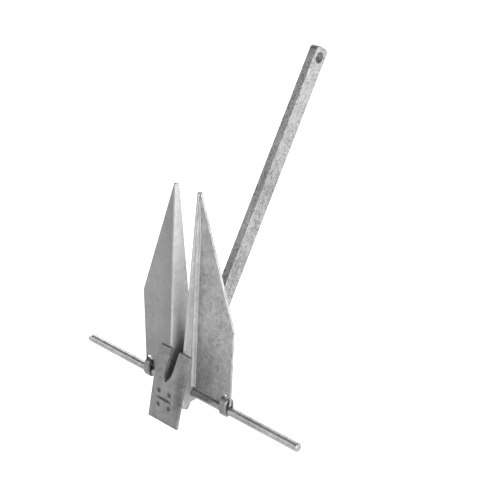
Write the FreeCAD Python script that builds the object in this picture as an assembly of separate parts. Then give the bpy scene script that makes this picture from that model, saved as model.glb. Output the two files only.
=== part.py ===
import FreeCAD, Part
import math
import os

V = FreeCAD.Vector

# Fluke anchor with a pivoting shank. Millimetres, +Z up along the flukes.
# Origin: middle of the stock rod, which is also the shank's pivot axis (X).

# stock rod
stock_radius = 8.0
stock_length = 541.0
stock_chamfer = 1.2
stock_flat_depth = 2.6
stock_flat_length = 7.0

# shank bar
shank_width = 17.0
shank_depth = 35.0
pivot_to_eye = 652.0
eye_radius = 10.0
eye_chamfer = 1.0
eye_end_margin = 19.5
eye_end_corner = 9.0
heel_length = 38.0
heel_depth = 27.0
heel_neck = 15.0
heel_corner = 5.0
shank_edge_round = 1.6
rest_angle = 30.0

# fluke plates
plate_thickness = 4.8
plate_bottom = 8.4
shoulder_x = 114.0
shoulder_z = 166.0
corner_x = 109.0
tip_x = 32.6
tip_z = 401.0
keeper_x = 98.5
keeper_hole_radius = 10.0
keeper_hole_z = 21.5

# ribs along the inner edges of the flukes
rib_thickness = 4.6
slot_half_width = 10.8
slot_spread = 0.0385
rib_half_depth = 32.9
rib_taper = 0.0695
rib_top = 402.5
rib_bottom = -19.0
rib_foot_half_depth = 28.5
rib_foot_top = 14.0
rib_toe_z = 30.0
rib_foot_corner = 3.0

# crown plates, one each side of the ribs: a centre panel pressed out between two wings
crown_thickness = 4.8
crown_top_z = 93.0
crown_foot_z = -43.0
crown_top_half_width = 39.5
crown_foot_half_width = 36.8
crown_top_depth = 31.5
crown_foot_depth = 65.3
centre_half_width = 19.5
centre_bend_z = 37.0
centre_bend_depth = 58.7
centre_bend_reach = 6.0
wing_bend_z = 60.0
wing_bend_depth = 43.5
crease_reach = 4.0
crown_corner = 4.0
slot_top_half_width = 10.2
slot_straight_z = 62.0
slot_shoulder_half_width = 8.9
slot_shoulder_z = 50.0
slot_tip_z = 37.0
slot_shoulder_round = 4.0
slot_tip_round = 1.5

# stamped marks on the front crown plate: four dimples and a plain row of strokes
dimple_x = 13.2
dimple_z = (18.0, -10.0)
dimple_radius = 5.5
dimple_depth = 2.0
stroke_count = 9
stroke_pitch = 4.0
stroke_width = 2.0
stroke_height = 6.0
stroke_z = 4.0
stroke_depth = 1.3

# keepers that hold the rod to the plates
keeper_width = 15.0
keeper_thickness = 4.2
keeper_rise = 12.0

# clearances, edge rounding and welds
running_gap = 0.08
sheet_edge_round = 0.9
plate_shoulder_round = 9.0
plate_corner_round = 3.0
rib_tip_round = 4.2
keeper_edge_round = 1.9
rib_weld_leg = 7.0
rib_weld_tip_leg = 2.0
rib_weld_low_z = 14.4
rib_weld_full_z = 325.0
rib_weld_high_z = 388.0
crown_weld_leg = 4.0
crown_weld_low_z = 60.0
crown_weld_high_z = 97.0


def write(name, shape):
    if len(shape.Solids) == 1:
        shape = shape.Solids[0]
    shape.exportStep(os.path.join("parts", name + ".step"))
    print(name, "solids", len(shape.Solids), "volume", round(shape.Volume, 1))


def face_from_points(points):
    return Part.Face(Part.makePolygon(points + [points[0]]))


def rod_along_x(radius, length, centre=V(0, 0, 0)):
    start = centre - V(length / 2, 0, 0)
    return Part.makeCylinder(radius, length, start, V(1, 0, 0))


def edges_at(shape, test):
    return [edge for edge in shape.Edges if test(edge)]


def is_along(edge, direction):
    if not isinstance(edge.Curve, Part.Line):
        return False
    return abs(abs(edge.Curve.Direction.dot(direction)) - 1) < 1e-3


def mirrored(shape, normal):
    return shape.mirror(V(0, 0, 0), normal)


def slot_face_x(z):
    return slot_half_width + slot_spread * z


def rib_depth_at(z):
    return rib_half_depth - rib_taper * z


def make_stock():
    rod = rod_along_x(stock_radius, stock_length)
    rod = rod.makeChamfer(stock_chamfer, [e for e in rod.Edges if isinstance(e.Curve, Part.Circle)])
    flat = Part.makeBox(stock_flat_length, 2 * stock_radius, stock_flat_depth)
    flat.translate(V(-stock_length / 2, -stock_radius, stock_radius - stock_flat_depth))
    return rod.cut(flat)


def shank_outline():
    half = shank_depth / 2
    top = pivot_to_eye + eye_end_margin
    points = [
        V(0, -half, top),
        V(0, -half, -heel_neck),
        V(0, -heel_depth / 2, -heel_neck - (half - heel_depth / 2)),
        V(0, -heel_depth / 2, -heel_length),
        V(0, heel_depth / 2, -heel_length),
        V(0, heel_depth / 2, -heel_neck - (half - heel_depth / 2)),
        V(0, half, -heel_neck),
        V(0, half, top),
    ]
    return face_from_points(points)


def make_shank():
    top = pivot_to_eye + eye_end_margin
    bar = shank_outline().extrude(V(shank_width, 0, 0))
    bar.translate(V(-shank_width / 2, 0, 0))
    across = V(1, 0, 0)
    eye_corners = edges_at(bar, lambda e: is_along(e, across) and e.CenterOfMass.z > top - 1)
    bar = bar.makeFillet(eye_end_corner, eye_corners)
    heel_corners = edges_at(bar, lambda e: is_along(e, across) and e.CenterOfMass.z < -heel_length + 1)
    bar = bar.makeFillet(heel_corner, heel_corners)
    rims = edges_at(bar, lambda e: abs(abs(e.CenterOfMass.x) - shank_width / 2) < 1e-3)
    bar = bar.makeFillet(shank_edge_round, rims)
    eye = rod_along_x(eye_radius, 2 * shank_width, V(0, 0, pivot_to_eye))
    bar = bar.cut(eye)
    eye_rims = edges_at(bar, lambda e: isinstance(e.Curve, Part.Circle)
                        and abs(e.Curve.Radius - eye_radius) < 1e-3)
    bar = bar.makeChamfer(eye_chamfer, eye_rims)
    bar = bar.cut(rod_along_x(stock_radius + running_gap, 2 * shank_width))
    bar.rotate(V(0, 0, 0), V(1, 0, 0), -rest_angle)
    return bar


def on_plate_face(edge):
    return abs(abs(edge.CenterOfMass.y) - plate_thickness / 2) < 1e-3


def beside_rib(edge):
    centre = edge.CenterOfMass
    return centre.x < rib_outer_x(centre.z) + 1


def make_plate():
    half = plate_thickness / 2
    outline = [
        V(rib_outer_x(plate_bottom), -half, plate_bottom),
        V(corner_x, -half, plate_bottom),
        V(shoulder_x, -half, shoulder_z),
        V(tip_x, -half, tip_z),
        V(rib_outer_x(tip_z), -half, tip_z),
    ]
    plate = face_from_points(outline).extrude(V(0, plate_thickness, 0))
    through = V(0, 1, 0)
    shoulder = edges_at(plate, lambda e: is_along(e, through) and abs(e.CenterOfMass.z - shoulder_z) < 1)
    plate = plate.makeFillet(plate_shoulder_round, shoulder)
    corner = edges_at(plate, lambda e: is_along(e, through) and e.CenterOfMass.x > corner_x - 1
                      and e.CenterOfMass.z < shoulder_z / 2)
    plate = plate.makeFillet(plate_corner_round, corner)
    free_rims = edges_at(plate, lambda e: on_plate_face(e) and not beside_rib(e))
    plate = plate.makeFillet(sheet_edge_round, free_rims)
    hole = Part.makeCylinder(keeper_hole_radius, 3 * plate_thickness,
                             V(keeper_x, -1.5 * plate_thickness, keeper_hole_z), V(0, 1, 0))
    plate = plate.cut(hole)
    return plate


def rib_outline():
    front = [
        V(0, -rib_depth_at(rib_top), rib_top),
        V(0, -rib_depth_at(crown_top_z), crown_top_z),
        V(0, crown_thickness / 2 - crown_top_depth, crown_top_z),
        V(0, crown_thickness / 2 - centre_bend_depth, centre_bend_z),
        V(0, crown_thickness / 2 - centre_depth_at(rib_toe_z), rib_toe_z),
        V(0, -rib_foot_half_depth, rib_foot_top),
        V(0, -rib_foot_half_depth, rib_bottom),
    ]
    back = [V(0, -p.y, p.z) for p in reversed(front)]
    return face_from_points(front + back)


def make_rib():
    lean = math.degrees(math.atan(slot_spread))
    rib = rib_outline().extrude(V(rib_thickness, 0, 0))
    across = V(1, 0, 0)
    foot = edges_at(rib, lambda e: is_along(e, across) and e.CenterOfMass.z < rib_bottom + 1)
    rib = rib.makeFillet(rib_foot_corner, foot)
    tip = edges_at(rib, lambda e: is_along(e, across) and e.CenterOfMass.z > rib_top - 1)
    rib = rib.makeFillet(rib_tip_round, tip)
    rib = rib.makeFillet(sheet_edge_round, edges_at(rib, lambda e: not is_along(e, across)))
    rib.rotate(V(0, 0, 0), V(0, 1, 0), lean)
    rib.translate(V(slot_half_width, 0, 0))
    return rib.cut(rod_along_x(stock_radius + running_gap, 6 * slot_half_width))


def rib_outer_x(z):
    """Where the rib's outer face stands, allowing for its lean."""
    return slot_face_x(z) + rib_thickness * math.hypot(1, slot_spread)


def weld_strip(start, end, side_a, side_b):
    """Triangular fillet weld between two faces that meet along start-end."""
    section = face_from_points([start, start + side_a, start + side_b])
    return section.extrude(end - start)


def rib_weld_section(z, leg, face_sign):
    """Concave fillet in the corner between the plate's face and the rib's outer face."""
    x = rib_outer_x(z)
    y = face_sign * plate_thickness / 2
    corner = V(x, y, z)
    on_plate = V(x + leg, y, z)
    on_rib = V(x, y + face_sign * leg, z)
    hollow = leg * (1 - math.sqrt(0.5))
    middle = V(x + hollow, y + face_sign * hollow, z)
    edges = [
        straight_edge(corner, on_plate),
        Part.Arc(on_plate, middle, on_rib).toShape(),
        straight_edge(on_rib, corner),
    ]
    return Part.Wire(edges)


def make_rib_weld(face_sign):
    sections = [
        rib_weld_section(rib_weld_low_z, rib_weld_leg, face_sign),
        rib_weld_section(rib_weld_full_z, rib_weld_leg, face_sign),
        rib_weld_section(rib_weld_high_z, rib_weld_tip_leg, face_sign),
    ]
    return Part.makeLoft(sections, True, True)


def link_loop(half_width):
    """Closed outline, in the YZ plane, of a link with round ends."""
    left_low = V(0, -half_width, 0)
    left_high = V(0, -half_width, keeper_rise)
    right_high = V(0, half_width, keeper_rise)
    right_low = V(0, half_width, 0)
    edges = [
        Part.LineSegment(left_low, left_high).toShape(),
        Part.Arc(left_high, V(0, 0, keeper_rise + half_width), right_high).toShape(),
        Part.LineSegment(right_high, right_low).toShape(),
        Part.Arc(right_low, V(0, 0, -half_width), left_low).toShape(),
    ]
    return Part.Face(Part.Wire(edges))


def make_keeper():
    inner = stock_radius + running_gap
    outer = link_loop(inner + keeper_thickness).extrude(V(keeper_width, 0, 0))
    rims = edges_at(outer, lambda e: not is_along(e, V(1, 0, 0)))
    outer = outer.makeFillet(keeper_edge_round, rims)
    hole = link_loop(inner).extrude(V(keeper_width, 0, 0))
    link = outer.cut(hole)
    link.translate(V(keeper_x - keeper_width / 2, 0, 0))
    return link


# The front crown plate faces -Y. Its depths are measured forwards from the flukes' middle plane.

def crown_half_width_at(z):
    share = (z - crown_foot_z) / (crown_top_z - crown_foot_z)
    return crown_foot_half_width + share * (crown_top_half_width - crown_foot_half_width)


def bent_depth(z, bend_z, bend_depth):
    """Depth of a line with two straight legs and a short parabola round the bend."""
    above = (crown_top_depth - bend_depth) / (crown_top_z - bend_z)
    below = (bend_depth - crown_foot_depth) / (bend_z - crown_foot_z)
    off = z - bend_z
    if off >= centre_bend_reach:
        return bend_depth + above * off
    if off <= -centre_bend_reach:
        return bend_depth + below * off
    curve = (above - below) / (4 * centre_bend_reach) * (off ** 2 + centre_bend_reach ** 2)
    return bend_depth + (above + below) / 2 * off + curve


def centre_depth_at(z):
    return bent_depth(z, centre_bend_z, centre_bend_depth)


def wing_depth_at(z):
    return bent_depth(z, wing_bend_z, wing_bend_depth)


def straight_edge(start, end):
    return Part.LineSegment(start, end).toShape()


def curved_edge(start, control, end):
    curve = Part.BezierCurve()
    curve.setPoles([start, control, end])
    return curve.toShape()


def crown_skin_points(z, inset):
    """Points across one face of the plate, from the left wing to the right."""
    half = crown_half_width_at(z)
    wing = wing_depth_at(z) - inset
    centre = centre_depth_at(z) - inset
    slope = (wing - centre) / (half - centre_half_width)
    left = [
        V(-half, -wing, z),
        V(-centre_half_width - crease_reach, -centre - slope * crease_reach, z),
        V(-centre_half_width, -centre, z),
        V(-centre_half_width + crease_reach, -centre, z),
    ]
    return left + [V(-p.x, p.y, z) for p in reversed(left)]


def crown_section(z):
    outer = crown_skin_points(z, 0)
    inner = list(reversed(crown_skin_points(z, crown_thickness)))
    edges = []
    for skin, other in ((outer, inner), (inner, outer)):
        edges.append(straight_edge(skin[0], skin[1]))
        edges.append(curved_edge(skin[1], skin[2], skin[3]))
        edges.append(straight_edge(skin[3], skin[4]))
        edges.append(curved_edge(skin[4], skin[5], skin[6]))
        edges.append(straight_edge(skin[6], skin[7]))
        edges.append(straight_edge(skin[7], other[0]))
    return Part.Wire(edges)


def make_front_crown():
    levels = [crown_top_z]
    levels += [wing_bend_z + centre_bend_reach * step for step in (1, 0, -1)]
    levels += [centre_bend_z + centre_bend_reach * step / 2 for step in (2, 1, 0, -1, -2)]
    levels.append(crown_foot_z)
    plate = Part.makeLoft([crown_section(z) for z in levels], True, True)
    plate = plate.cut(shank_slot())
    return plate.cut(crown_corner_waste())


def shank_slot():
    """Slot the shank leans into. Its foot narrows below the shank's width, which is the stop."""
    reach = 2 * crown_foot_depth
    right = [
        V(slot_top_half_width, 0, crown_top_z + slot_top_half_width),
        V(slot_top_half_width, 0, slot_straight_z),
        V(slot_shoulder_half_width, 0, slot_shoulder_z),
    ]
    left = [V(-p.x, 0, p.z) for p in reversed(right)]
    slot = face_from_points(right + [V(0, 0, slot_tip_z)] + left).extrude(V(0, -reach, 0))
    through = V(0, 1, 0)
    shoulders = edges_at(slot, lambda e: is_along(e, through)
                         and abs(e.CenterOfMass.z - slot_shoulder_z) < 1)
    slot = slot.makeFillet(slot_shoulder_round, shoulders)
    tip = edges_at(slot, lambda e: is_along(e, through) and e.CenterOfMass.z < slot_tip_z + 1)
    return slot.makeFillet(slot_tip_round, tip)


def crown_corner_waste():
    """The four corners outside the crown plate's rounded front view."""
    depth = 2 * crown_foot_depth
    corners = [
        V(crown_top_half_width, 0, crown_top_z),
        V(crown_foot_half_width, 0, crown_foot_z),
        V(-crown_foot_half_width, 0, crown_foot_z),
        V(-crown_top_half_width, 0, crown_top_z),
    ]
    blank = face_from_points(corners).extrude(V(0, -depth, 0))
    rounded = blank.makeFillet(crown_corner, edges_at(blank, lambda e: is_along(e, V(0, 1, 0))))
    return blank.cut(rounded)


def stamped_marks():
    """Punches that press four dimples and a row of plain strokes into the front crown plate."""
    marks = []
    for z in dimple_z:
        for x in (-dimple_x, dimple_x):
            out = centre_depth_at(z) + dimple_radius - dimple_depth
            marks.append(Part.makeSphere(dimple_radius, V(x, -out, z)))
    floor = centre_depth_at(stroke_z) - stroke_depth
    for index in range(stroke_count):
        x = (index - (stroke_count - 1) / 2) * stroke_pitch
        low = V(x - stroke_width / 2, -floor - crown_thickness, stroke_z - stroke_height / 2)
        marks.append(Part.makeBox(stroke_width, crown_thickness, stroke_height, low))
    return Part.makeCompound(marks)


def make_crown_weld():
    """Bead in the corner between the front crown plate and the right-hand rib's outer face."""
    slope = (centre_depth_at(crown_weld_low_z) - crown_top_depth) / (crown_top_z - crown_weld_low_z)
    top_drop = crown_weld_high_z - crown_top_z
    top_depth = crown_top_depth - crown_thickness - slope * top_drop
    low_depth = centre_depth_at(crown_weld_low_z) - crown_thickness
    low = V(rib_outer_x(crown_weld_low_z), -low_depth, crown_weld_low_z)
    high = V(rib_outer_x(crown_weld_high_z), -top_depth, crown_weld_high_z)
    along = (high - low).normalize()
    into_slot = V(1, 0, 0).cross(along) * -crown_weld_leg
    return weld_strip(low, high, V(crown_weld_leg, 0, 0), into_slot)


def main():
    os.makedirs("parts", exist_ok=True)
    write("stock_rod", make_stock())
    write("shank", make_shank())

    crown = make_front_crown()
    rear_crown = mirrored(crown, V(0, 1, 0))
    write("front_crown_plate", crown.cut(stamped_marks()))
    write("rear_crown_plate", rear_crown)

    rib = make_rib().cut(crown).cut(rear_crown)
    plate = make_plate().cut(rib)
    keeper = make_keeper()
    weld_front = make_rib_weld(-1)
    weld_back = make_rib_weld(1)
    crown_weld = make_crown_weld().cut(crown)
    rear_crown_weld = mirrored(crown_weld, V(0, 1, 0))
    for side, place in (("right", lambda s: s), ("left", lambda s: mirrored(s, V(1, 0, 0)))):
        write(side + "_fluke_plate", place(plate))
        write(side + "_rib", place(rib))
        write(side + "_stock_keeper", place(keeper))
        write(side + "_rib_weld_front", place(weld_front))
        write(side + "_rib_weld_back", place(weld_back))
        write(side + "_front_crown_weld", place(crown_weld))
        write(side + "_rear_crown_weld", place(rear_crown_weld))


main()
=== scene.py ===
import math

import bpy
from mathutils import Matrix, Vector


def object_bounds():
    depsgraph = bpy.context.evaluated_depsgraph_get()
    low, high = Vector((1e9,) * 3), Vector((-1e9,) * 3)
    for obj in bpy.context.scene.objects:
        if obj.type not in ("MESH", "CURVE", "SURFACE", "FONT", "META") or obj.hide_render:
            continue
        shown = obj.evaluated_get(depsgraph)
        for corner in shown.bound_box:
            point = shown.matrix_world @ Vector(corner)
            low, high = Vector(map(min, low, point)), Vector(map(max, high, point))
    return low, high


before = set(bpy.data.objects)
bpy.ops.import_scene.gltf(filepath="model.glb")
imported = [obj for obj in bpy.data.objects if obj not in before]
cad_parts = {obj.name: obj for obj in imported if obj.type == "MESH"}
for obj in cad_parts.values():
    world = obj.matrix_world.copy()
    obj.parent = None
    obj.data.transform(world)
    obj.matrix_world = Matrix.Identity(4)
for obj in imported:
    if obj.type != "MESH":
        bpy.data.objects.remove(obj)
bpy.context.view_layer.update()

print("frame loaded:", len(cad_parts), "nodes")


# A Wire is a shader socket that can be used in sums, and a Paint adds the nodes.

class Wire:
    def __init__(self, paint, socket):
        self.paint = paint
        self.socket = socket

    def maths(self, operation, first, second=0.0):
        node = self.paint.node("ShaderNodeMath", {"operation": operation}, {0: first, 1: second})
        return Wire(self.paint, node.outputs[0])

    def __add__(self, other): return self.maths("ADD", self, other)
    def __radd__(self, other): return self.maths("ADD", other, self)
    def __sub__(self, other): return self.maths("SUBTRACT", self, other)
    def __rsub__(self, other): return self.maths("SUBTRACT", other, self)
    def __mul__(self, other): return self.maths("MULTIPLY", self, other)
    def __rmul__(self, other): return self.maths("MULTIPLY", other, self)

    def between(self, low, high):
        node = self.paint.node("ShaderNodeMapRange", {"interpolation_type": "SMOOTHSTEP", "clamp": True},
                               {"Value": self, "From Min": low, "From Max": high,
                                "To Min": 0.0, "To Max": 1.0})
        return Wire(self.paint, node.outputs["Result"])


class Paint:
    def __init__(self, name):
        self.material = bpy.data.materials.new(name)
        self.material.use_nodes = True
        self.tree = self.material.node_tree
        self.tree.nodes.clear()
        place = self.node("ShaderNodeTexCoord")
        self.place = Wire(self, place.outputs["Object"])

    def node(self, kind, settings=None, sockets=None):
        made = self.tree.nodes.new(kind)
        for key, value in (settings or {}).items():
            setattr(made, key, value)
        for key, value in (sockets or {}).items():
            if isinstance(value, Wire):
                self.tree.links.new(value.socket, made.inputs[key])
            else:
                made.inputs[key].default_value = value
        return made

    def scaled(self, factors, turn):
        node = self.node("ShaderNodeMapping", {"vector_type": "POINT"},
                         {"Vector": self.place, "Scale": factors, "Rotation": turn})
        return Wire(self, node.outputs["Vector"])

    def noise(self, vector, size, layer, seed):
        node = self.node("ShaderNodeTexNoise", {"noise_dimensions": "4D"},
                         {"Vector": vector, "W": seed + layer["shift"], "Scale": 1 / size,
                          "Detail": layer["detail"], "Roughness": layer["roughness"],
                          "Distortion": layer["warp"]})
        return Wire(self, node.outputs[0])

    def cellTone(self, size):
        cells = self.node("ShaderNodeTexVoronoi", {"feature": "F1"},
                          {"Vector": self.place, "Scale": 1 / size, "Randomness": 1.0})
        parts = self.node("ShaderNodeSeparateColor", None, {"Color": Wire(self, cells.outputs["Color"])})
        return Wire(self, parts.outputs[0])

    def arrows(self, operation, first, second=None):
        sockets = {0: first} if second is None else {0: first, 1: second}
        return self.node("ShaderNodeVectorMath", {"operation": operation}, sockets)

    def mix(self, factor, first, second):
        node = self.node("ShaderNodeMix", {"data_type": "RGBA"}, {0: factor, 6: first, 7: second})
        return Wire(self, node.outputs[2])

    def bump(self, height, distance, below):
        node = self.node("ShaderNodeBump", None, {"Height": height, "Distance": distance,
                                                  "Strength": 1.0, "Normal": below})
        return Wire(self, node.outputs["Normal"])

    def finish(self, colour, roughness, metallic, normal, fixed):
        sockets = {"Base Color": colour, "Roughness": roughness, "Metallic": metallic, "Normal": normal}
        sockets.update(fixed)
        shader = self.node("ShaderNodeBsdfPrincipled", None, sockets)
        self.node("ShaderNodeOutputMaterial", None, {"Surface": Wire(self, shader.outputs[0])})
        return self.material


coolShare = 0.6


def grey(level, warm):
    return (level * (1 + warm), level, level * (1 - warm * coolShare), 1.0)


# A dark spot is a soft round patch about a place, squeezed by a stretch on each axis: dross in the
# crown's stamped marks, painted shade on the crown's right wing, the shank end and the rib feet.

def spotMask(paint, spot):
    offset = paint.arrows("SUBTRACT", paint.place, spot["place"])
    squeezed = paint.arrows("MULTIPLY", Wire(paint, offset.outputs["Vector"]), spot["stretch"])
    length = paint.arrows("LENGTH", Wire(paint, squeezed.outputs["Vector"]))
    away = Wire(paint, length.outputs["Value"])
    return 1 - away.between(spot["reach"] * spot["core"], spot["reach"])


# Hot-dip zinc: one recipe, with its own settings for each piece. The layers are the recipe's
# noises, and the rest says where each mask starts and ends and how much it weighs.

zincLayers = {
    "cloud": {"detail": 3.0, "roughness": 0.55, "warp": 0.4, "shift": 0.0},
    "mottle": {"detail": 5.0, "roughness": 0.62, "warp": 0.6, "shift": 3.1},
    "grain": {"detail": 4.0, "roughness": 0.7, "warp": 0.0, "shift": 7.7},
    "pit": {"detail": 2.0, "roughness": 0.5, "warp": 0.2, "shift": 12.4},
    "run": {"detail": 3.0, "roughness": 0.5, "warp": 0.3, "shift": 21.9},
}

zincRecipe = {
    "middle": 0.5,
    "cavitySpan": (0.15, 0.85), "cavitySamples": 6, "cavityShadeFloor": 0.5, "cavityRough": 0.1,
    "edgeSpan": (0.80, 0.995), "edgeSamples": 4, "edgeFloor": 0.4, "edgeSmooth": 0.25,
    "pitRise": 0.10, "pitRough": 0.12, "runSpan": (0.46, 0.72),
    "spotFloor": 0.7, "spotGrain": 0.6, "flakeRough": 0.35,
    "cloudLift": 0.6, "mottleLift": 0.4, "grainLift": 0.7, "flakeLift": 0.1, "pitDrop": 0.8,
    "shine": 0.5,
}


def zincMasks(paint, look):
    recipe = zincRecipe
    masks = {}
    for name in ("cloud", "mottle", "grain", "pit"):
        masks[name] = paint.noise(paint.place, look[name + "Size"], zincLayers[name], look["seed"])
    masks["flake"] = paint.cellTone(look["spangleSize"])
    stretched = paint.scaled(look["runStretch"], look["runTurn"])
    run = paint.noise(stretched, look["runSize"], zincLayers["run"], look["seed"])
    masks["run"] = run.between(*recipe["runSpan"])
    masks["pit"] = masks["pit"].between(look["pitStart"], look["pitStart"] + recipe["pitRise"])

    # Ambient occlusion darkens hollows, corners and the gaps between parts: painted shade.
    hollow = paint.node("ShaderNodeAmbientOcclusion", {"samples": recipe["cavitySamples"]},
                        {"Distance": look["cavityReach"]})
    masks["cavity"] = 1 - Wire(paint, hollow.outputs["AO"]).between(*recipe["cavitySpan"])
    # Rounded edges are lightened: partly worn zinc, partly a painted highlight.
    rounded = paint.node("ShaderNodeBevel", {"samples": recipe["edgeSamples"]},
                         {"Radius": look["edgeReach"]})
    masks["softened"] = Wire(paint, rounded.outputs["Normal"])
    flat = Wire(paint, paint.node("ShaderNodeNewGeometry").outputs["Normal"])
    turned = paint.arrows("DOT_PRODUCT", masks["softened"], flat)
    masks["edge"] = 1 - Wire(paint, turned.outputs["Value"]).between(*recipe["edgeSpan"])
    return masks


def zincTone(paint, look, masks):
    recipe = zincRecipe
    middle = recipe["middle"]
    level = (masks["cloud"] - middle) * look["cloudDepth"]
    level = level + (masks["mottle"] - middle) * look["mottleDepth"]
    level = level + (masks["grain"] - middle) * look["grainDepth"]
    level = level + (masks["flake"] - middle) * look["spangleDepth"]
    level = level + masks["run"] * look["runDepth"] - masks["pit"] * look["pitDepth"]
    # Lighter rounded edges: partly worn zinc, partly a painted highlight.
    level = level + masks["edge"] * (recipe["edgeFloor"] + masks["grain"]) * look["edgeWearAndHighlight"]
    # Painted shade in hollows and between parts.
    level = level - masks["cavity"] * (recipe["cavityShadeFloor"] + masks["mottle"]) * look["cavityShadeDepth"]
    # Dark spots: dross in the crown's stamped marks, painted shade everywhere else.
    for spot in look["darkSpots"]:
        patchy = recipe["spotFloor"] + masks["grain"] * recipe["spotGrain"]
        level = level - spotMask(paint, spot) * patchy * spot["depth"]
    return (level + middle).between(0.0, 1.0)


def zincRoughness(look, masks):
    recipe = zincRecipe
    middle = recipe["middle"]
    rough = look["roughness"] + (masks["mottle"] - middle) * look["roughSpread"]
    rough = rough + masks["pit"] * recipe["pitRough"]
    rough = rough + (masks["flake"] - middle) * look["roughSpread"] * recipe["flakeRough"]
    rough = rough - masks["edge"] * look["edgeWearAndHighlight"] * recipe["edgeSmooth"]
    return rough + masks["cavity"] * recipe["cavityRough"]


def zincSkin(paint, look, masks):
    recipe = zincRecipe
    waves = masks["cloud"] * recipe["cloudLift"] + masks["mottle"] * recipe["mottleLift"]
    ripple = paint.bump(waves, look["rippleHeight"], masks["softened"])
    grit = masks["grain"] * recipe["grainLift"] + masks["flake"] * recipe["flakeLift"]
    return paint.bump(grit - masks["pit"] * recipe["pitDrop"], look["grainHeight"], ripple)


def zincMaterial(name, look):
    paint = Paint(name)
    masks = zincMasks(paint, look)
    dark = grey(look["dark"], look["warm"])
    light = grey(look["light"], look["warm"])
    colour = paint.mix(zincTone(paint, look, masks), dark, light)
    return paint.finish(colour, zincRoughness(look, masks), look["metallic"],
                        zincSkin(paint, look, masks),
                        {"Specular IOR Level": zincRecipe["shine"], "Anisotropic": 0.0})


zincBase = {
    "seed": 1.0, "dark": 0.15, "light": 0.32, "warm": -0.004, "metallic": 0.5,
    "roughness": 0.48, "roughSpread": 0.2,
    "cloudSize": 0.085, "cloudDepth": 0.5,
    "mottleSize": 0.011, "mottleDepth": 0.6,
    "grainSize": 0.0022, "grainDepth": 0.7,
    "spangleSize": 0.0052, "spangleDepth": 0.10,
    "pitSize": 0.0042, "pitStart": 0.66, "pitDepth": 0.30,
    "runStretch": (1.0, 1.0, 0.12), "runTurn": (0.0, 0.0, 0.0), "runSize": 0.016, "runDepth": 0.08,
    "rippleHeight": 0.0016, "grainHeight": 0.00035,
    "cavityReach": 0.007, "cavityShadeDepth": 0.45, "edgeReach": 0.0012, "edgeWearAndHighlight": 0.28,
    "darkSpots": [],
}

# Dross in the stamped marks of the front crown plate, and painted shade darkening the wing on its right.
dimpleX = 0.0132
dimpleHeights = (0.018, -0.010)
markY = -0.063
crownMarksAndShade = [{"place": (x, markY, z), "stretch": (1.0, 0.3, 1.0),
                "reach": 0.0060, "core": 0.4, "depth": 0.9}
               for x in (-dimpleX, dimpleX) for z in dimpleHeights]
crownMarksAndShade.append({"place": (0.0, markY, 0.004), "stretch": (0.22, 0.2, 1.0),
                    "reach": 0.0044, "core": 0.5, "depth": 0.5})
# Painted shade: the darker right wing of the crown.
crownMarksAndShade.append({"place": (0.034, -0.045, 0.020), "stretch": (3.8, 0.6, 1.0),
                    "reach": 0.060, "core": 0.2, "depth": 0.26})

# Painted shade on the end of the shank above the eye, and on the feet of the ribs behind the crown.
shankEndShade = [{"place": (0.0, 0.343, 0.5935), "stretch": (0.4, 1.0, 1.0),
                "reach": 0.0150, "core": 0.75, "depth": 1.0}]
ribX = 0.0154
ribFootShade = [{"place": (x, 0.0, 0.010), "stretch": (0.3, 1.0, 0.45),
              "reach": 0.029, "core": 0.82, "depth": 0.35} for x in (-ribX, ribX)]

plateLook = dict(zincBase, seed=2.0, dark=0.13, light=0.28)
roughPlateLook = dict(zincBase, seed=5.0, dark=0.13, light=0.36, mottleDepth=1.0, grainDepth=0.9,
                      mottleSize=0.013, pitSize=0.0048, pitStart=0.61, pitDepth=0.6)
# Lighter tone on the ribs: painted light on their side faces.
litRibLook = dict(zincBase, seed=8.0, darkSpots=ribFootShade, dark=0.20, light=0.43,
               mottleDepth=0.5, grainDepth=0.5)
shankLook = dict(zincBase, seed=11.0, darkSpots=shankEndShade, dark=0.07, light=0.30,
                 grainSize=0.0030, grainDepth=1.7, mottleDepth=0.7,
                 pitSize=0.0042, pitStart=0.60, pitDepth=0.45,
                 cavityReach=0.016, cavityShadeDepth=0.35,
                 runStretch=(1.0, 0.1, 0.1), runTurn=(math.radians(30), 0.0, 0.0))
stockLook = dict(zincBase, seed=14.0, dark=0.10, light=0.42, metallic=0.7, roughness=0.34,
                 mottleDepth=0.6, runStretch=(0.1, 1.0, 1.0))
crownLook = dict(zincBase, seed=17.0, darkSpots=crownMarksAndShade, dark=0.06, light=0.25,
                 mottleDepth=0.7, cavityShadeDepth=0.7)
keeperLook = dict(zincBase, seed=20.0, dark=0.06, light=0.26, metallic=0.6, roughness=0.38,
                  cavityShadeDepth=0.8)
weldLook = dict(zincBase, seed=23.0, dark=0.14, light=0.35, roughness=0.46)

looksByNode = {
    "stock_rod": stockLook,
    "shank": shankLook,
    "left_fluke_plate": plateLook,
    "right_fluke_plate": roughPlateLook,
    "left_rib": litRibLook,
    "right_rib": litRibLook,
    "left_stock_keeper": keeperLook,
    "right_stock_keeper": keeperLook,
    "front_crown_plate": crownLook,
    "rear_crown_plate": crownLook,
}

zincPaints = {}


def zincFor(look, name):
    if look["seed"] not in zincPaints:
        zincPaints[look["seed"]] = zincMaterial("zinc_" + name, look)
    return zincPaints[look["seed"]]


def coatNodes():
    for name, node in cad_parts.items():
        look = looksByNode.get(name, weldLook)
        material = zincFor(look, name if look is not weldLook else "weld")
        if not node.material_slots:
            node.data.materials.append(material)
        for slot in node.material_slots:
            slot.material = material


coatNodes()
print("zinc coats done:", len(zincPaints))


# The studio: pale floor, soft boxes and the camera.

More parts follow.
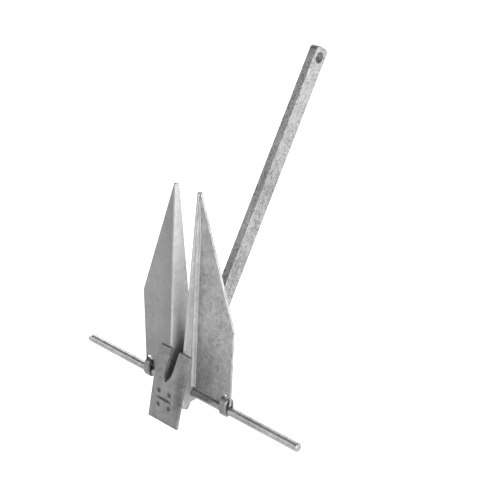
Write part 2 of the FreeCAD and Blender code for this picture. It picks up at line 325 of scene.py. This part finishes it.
studio = {
    "floorSize": 14.0,
    "floorTone": 0.5,
    "floorRoughness": 0.9,
    "floorGlow": 1.0,
    "target": (0, 0.05, 0.2),
    "sky": 0.22,
    "boxes": {
        "right_box": {"place": (3.0, -0.9, 0.7), "size": (1.8, 1.6), "watts": 170},
        "low_right_box": {"place": (2.6, 1.6, 0.0), "size": (2.0, 1.0), "watts": 60},
        "right_back_box": {"place": (2.6, 2.0, 1.9), "size": (2.4, 2.0), "watts": 40},
        "left_back_box": {"place": (-2.2, 2.0, 1.8), "size": (2.0, 2.0), "watts": 60},
        "front_left_box": {"place": (-1.9, -2.1, 1.25), "size": (2.4, 1.6), "watts": 38},
    },
}


def makeFloor():
    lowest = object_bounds()[0][2]
    half = studio["floorSize"] / 2
    mesh = bpy.data.meshes.new("studio_floor")
    corners = [(x * half, y * half, lowest) for x, y in ((-1, -1), (1, -1), (1, 1), (-1, 1))]
    mesh.from_pydata(corners, [], [(0, 1, 2, 3)])
    floor = bpy.data.objects.new("studio_floor", mesh)
    bpy.context.scene.collection.objects.link(floor)
    material = bpy.data.materials.new("floor_paper")
    material.use_nodes = True
    shader = material.node_tree.nodes["Principled BSDF"]
    shader.inputs["Base Color"].default_value = grey(studio["floorTone"], 0.0)
    shader.inputs["Roughness"].default_value = studio["floorRoughness"]
    shader.inputs["Specular IOR Level"].default_value = 0.0
    shader.inputs["Emission Color"].default_value = (1, 1, 1, 1)
    shader.inputs["Emission Strength"].default_value = studio["floorGlow"]
    mesh.materials.append(material)


def softBox(name, box):
    data = bpy.data.lights.new(name, "AREA")
    data.shape = "RECTANGLE"
    data.size, data.size_y = box["size"]
    data.energy = box["watts"]
    lamp = bpy.data.objects.new(name, data)
    lamp.location = box["place"]
    sight = Vector(studio["target"]) - Vector(box["place"])
    lamp.rotation_euler = sight.to_track_quat("-Z", "Y").to_euler()
    bpy.context.scene.collection.objects.link(lamp)


def lightStudio():
    world = bpy.data.worlds.new("studio_air")
    world.use_nodes = True
    sky = world.node_tree.nodes["Background"]
    sky.inputs["Color"].default_value = (1, 1, 1, 1)
    sky.inputs["Strength"].default_value = studio["sky"]
    bpy.context.scene.world = world
    for name, box in studio["boxes"].items():
        softBox(name, box)
    bpy.context.scene.view_settings.view_transform = "Standard"


cameraView = {
    "place": (1.4151, -1.3956, 1.2369),
    "target": (0.0049, 0.1553, 0.2331),
    "roll": 1.49,
    "lens": 90.8,
    "sensor": 36.0,
}


def placeCamera():
    data = bpy.data.cameras.new("camera")
    data.lens = cameraView["lens"]
    data.sensor_width = cameraView["sensor"]
    camera = bpy.data.objects.new("camera", data)
    sight = Vector(cameraView["target"]) - Vector(cameraView["place"])
    turn = sight.to_track_quat("-Z", "Y").to_matrix().to_4x4()
    roll = Matrix.Rotation(math.radians(cameraView["roll"]), 4, "Z")
    camera.matrix_world = Matrix.Translation(cameraView["place"]) @ turn @ roll
    bpy.context.scene.collection.objects.link(camera)
    bpy.context.scene.camera = camera


makeFloor()
lightStudio()
placeCamera()
print("studio ready")
